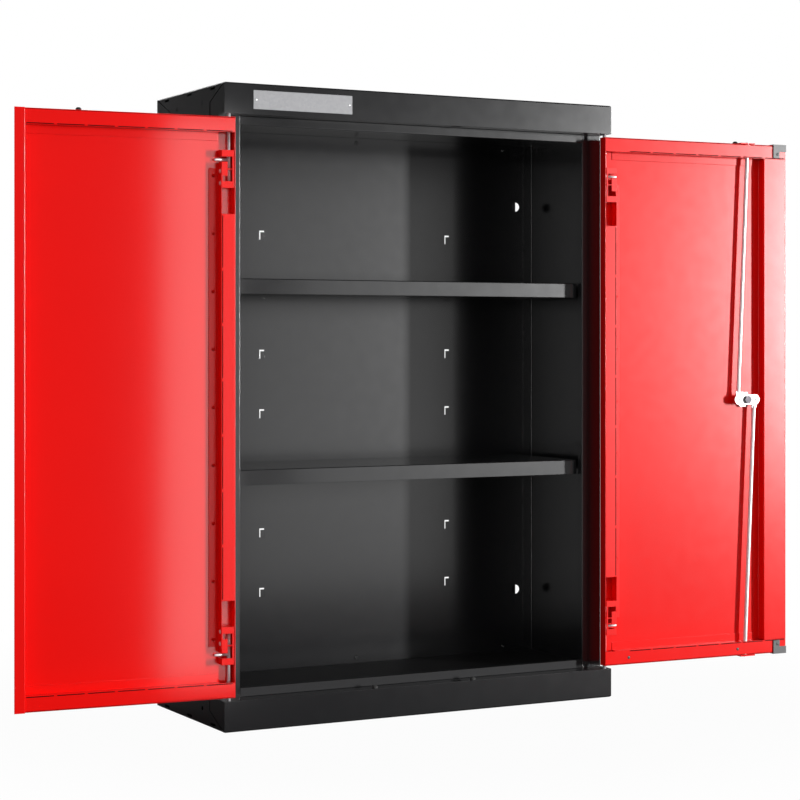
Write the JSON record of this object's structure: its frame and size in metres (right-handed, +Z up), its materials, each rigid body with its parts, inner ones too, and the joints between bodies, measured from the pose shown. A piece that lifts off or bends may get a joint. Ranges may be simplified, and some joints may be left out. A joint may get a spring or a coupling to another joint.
{
  "type": "wall cabinet",
  "caption": "Black steel wall cabinet with open red pivot doors, shelves hooked into a slotted back, and a crank lock that drives an upper and a lower rod.",
  "frame": {"origin": "centre of the base's underside, below the middle of the carcass", "axes": "+X to the right of someone in front of the cabinet, +Y to the wall, +Z up"},
  "size_m": [1.3934, 0.301, 1],
  "materials": {
    "black_paint": "satin",
    "red_paint": "gloss",
    "zinc": "zinc plated",
    "lock_chrome": "polished",
    "black_plastic": "matte",
    "black_rubber": "matte"
  },
  "bodies": {
    "carcass": {"top_cap": "black_paint", "base_cap": "black_paint", "left_side": "black_paint", "right_side": "black_paint", "back_panel": "black_paint", "floor_panel": "black_paint", "ceiling_panel": "black_paint", "upper_shelf": "black_paint", "lower_shelf": "black_paint", "left_wall_rail": "black_paint", "right_wall_rail": "black_paint", "base_buffers": "black_rubber"},
    "left_door": {"left_door_panel": "red_paint", "meeting_strip": "red_paint", "left_hinge_post": "red_paint", "left_upper_bracket": "red_paint", "left_lower_bracket": "red_paint", "left_door_buffer": "black_rubber"},
    "right_door": {"right_door_panel": "red_paint", "right_hinge_post": "red_paint", "lock_post": "red_paint", "right_upper_bracket": "red_paint", "right_lower_bracket": "red_paint", "right_door_buffer": "black_rubber", "corner_caps": "black_plastic", "rod_guides": "red_paint", "lock_housing": "lock_chrome"},
    "left_upper_bolt": {"left_upper_bolt": "zinc"},
    "left_lower_bolt": {"left_lower_bolt": "zinc"},
    "right_upper_bolt": {"right_upper_bolt": "zinc"},
    "right_lower_bolt": {"right_lower_bolt": "zinc"},
    "lock": {"lock_barrel": "lock_chrome", "lock_cam": "zinc", "cam_nut": "zinc", "rod_rivets": "zinc"},
    "upper_rod": {"upper_rod": "zinc"},
    "lower_rod": {"lower_rod": "zinc"}
  },
  "joints": [
    {"name": "left_door_swing", "type": "hinge", "parent": "carcass", "child": "left_door", "pos_m": [-0.3453, -0.134, 0.5], "axis": [0, 0, 1], "range_deg": [-2, 184.4]},
    {"name": "right_door_swing", "type": "hinge", "parent": "carcass", "child": "right_door", "pos_m": [0.3453, -0.134, 0.5], "axis": [0, 0, 1], "range_deg": [-178.2, 8.2]},
    {"name": "left_upper_bolt_turn", "type": "hinge", "parent": "left_door", "child": "left_upper_bolt", "pos_m": [-0.3453, -0.134, 0.5], "axis": [0, 0, -1], "range_deg": [-85, 0]},
    {"name": "left_lower_bolt_turn", "type": "hinge", "parent": "left_door", "child": "left_lower_bolt", "pos_m": [-0.3453, -0.134, 0.5], "axis": [0, 0, -1], "range_deg": [-85, 0]},
    {"name": "right_upper_bolt_turn", "type": "hinge", "parent": "right_door", "child": "right_upper_bolt", "pos_m": [0.3453, -0.134, 0.5], "axis": [0, 0, -1], "range_deg": [0, 85]},
    {"name": "right_lower_bolt_turn", "type": "hinge", "parent": "right_door", "child": "right_lower_bolt", "pos_m": [0.3453, -0.134, 0.5], "axis": [0, 0, -1], "range_deg": [0, 85]},
    {"name": "lock_turn", "type": "hinge", "parent": "right_door", "child": "lock", "pos_m": [0.62971, -0.15094, 0.5], "axis": [0.0314, 0.9995, 0], "range_deg": [0, 90]},
    {"name": "upper_rod_swing", "type": "hinge", "parent": "lock", "child": "upper_rod", "pos_m": [0.61266, -0.15221, 0.5], "axis": [0.0314, 0.9995, 0], "range_deg": [-93, 0.5]},
    {"name": "lower_rod_swing", "type": "hinge", "parent": "lock", "child": "lower_rod", "pos_m": [0.64664, -0.15327, 0.5], "axis": [0.0314, 0.9995, 0], "range_deg": [-93, 0.5]}
  ],
  "couplings": [
    {"joint": "upper_rod_swing", "follows": "lock_turn", "ratio": -1.0241},
    {"joint": "lower_rod_swing", "follows": "lock_turn", "ratio": -1.0241}
  ]
}
